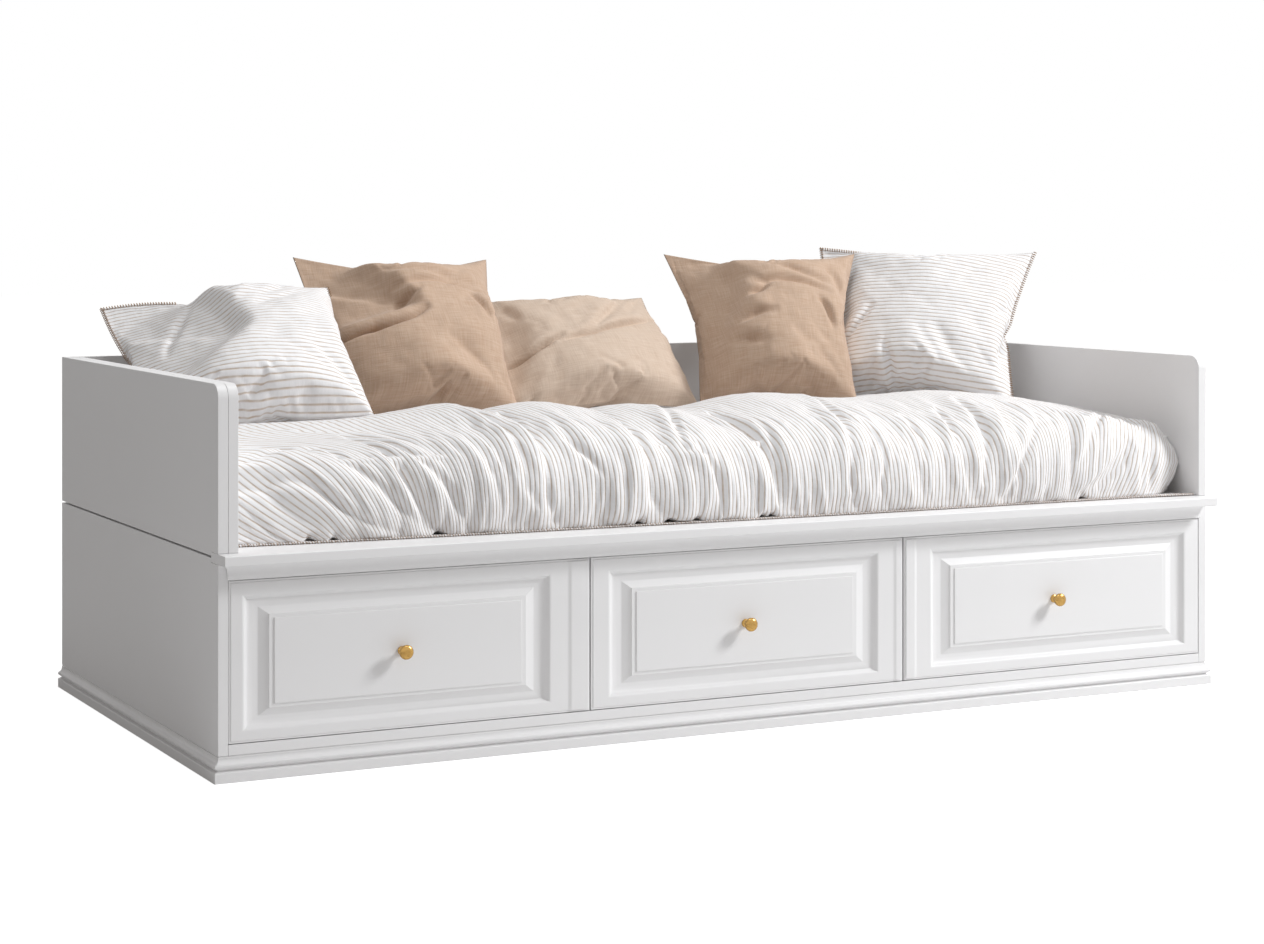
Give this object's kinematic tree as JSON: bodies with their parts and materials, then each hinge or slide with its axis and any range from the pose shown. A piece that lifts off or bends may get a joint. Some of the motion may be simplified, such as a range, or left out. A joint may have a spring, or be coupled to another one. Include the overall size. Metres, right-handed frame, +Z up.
{
  "type": "storage daybed",
  "caption": "White panelled daybed with low back and sides, drawers on runners under a ledge, moulded plinth, slatted base, mattress, duvet and pillows.",
  "frame": {"origin": "on the floor under the middle of the bed", "axes": "+X along the bed to the right as seen from the drawers, +Y from the drawers to the back, +Z up"},
  "size_m": [2.116, 1.063, 0.8755],
  "materials": {
    "white_paint": "satin white paint on board",
    "drawer_board": "white melamine board",
    "birch": "planed birch",
    "brass": "polished, slightly aged",
    "ticking": "woven mattress ticking",
    "striped_cotton": "white cotton with fine tan stripes",
    "tan_linen": "plain woven linen"
  },
  "bodies": {
    "carcass": {"plinth_back": "white_paint", "plinth_front": "white_paint", "plinth_left": "white_paint", "plinth_right": "white_paint", "side_board_lower_left": "white_paint", "side_board_lower_right": "white_paint", "side_board_upper_left": "white_paint", "side_board_upper_right": "white_paint", "side_lining_left": "white_paint", "side_batten_right": "white_paint", "back_panel": "white_paint", "ledge_board": "white_paint", "cornice_moulding": "white_paint", "front_bottom_rail": "white_paint", "front_top_rail": "white_paint", "partition_1": "white_paint", "partition_2": "white_paint", "slat_ledger_back": "birch", "slat_ledger_front": "birch", "slat_1": "birch", "slat_2": "birch", "slat_3": "birch", "slat_4": "birch", "slat_5": "birch", "slat_6": "birch", "slat_7": "birch", "slat_8": "birch", "slat_9": "birch", "slat_10": "birch", "runner_1_left": "birch", "runner_1_right": "birch", "runner_2_left": "birch", "runner_2_right": "birch", "runner_3_left": "birch", "runner_3_right": "birch", "mattress": "ticking", "duvet": "striped_cotton", "pillow_striped_left": "striped_cotton", "pillow_striped_right": "striped_cotton", "pillow_tan_left": "tan_linen", "pillow_tan_middle": "tan_linen", "pillow_tan_right": "tan_linen"},
    "drawer_1": {"drawer_1_back": "drawer_board", "drawer_1_bottom": "drawer_board", "drawer_1_front": "white_paint", "drawer_1_knob": "brass", "drawer_1_side_left": "drawer_board", "drawer_1_side_right": "drawer_board"},
    "drawer_2": {"drawer_2_back": "drawer_board", "drawer_2_bottom": "drawer_board", "drawer_2_front": "white_paint", "drawer_2_knob": "brass", "drawer_2_side_left": "drawer_board", "drawer_2_side_right": "drawer_board"},
    "drawer_3": {"drawer_3_back": "drawer_board", "drawer_3_bottom": "drawer_board", "drawer_3_front": "white_paint", "drawer_3_knob": "brass", "drawer_3_side_left": "drawer_board", "drawer_3_side_right": "drawer_board"}
  },
  "joints": [
    {"name": "drawer_1_slide", "type": "slide", "parent": "carcass", "child": "drawer_1", "axis": [0, -1, 0], "range_m": [0, 0.45]},
    {"name": "drawer_2_slide", "type": "slide", "parent": "carcass", "child": "drawer_2", "axis": [0, -1, 0], "range_m": [0, 0.45]},
    {"name": "drawer_3_slide", "type": "slide", "parent": "carcass", "child": "drawer_3", "axis": [0, -1, 0], "range_m": [0, 0.45]}
  ]
}
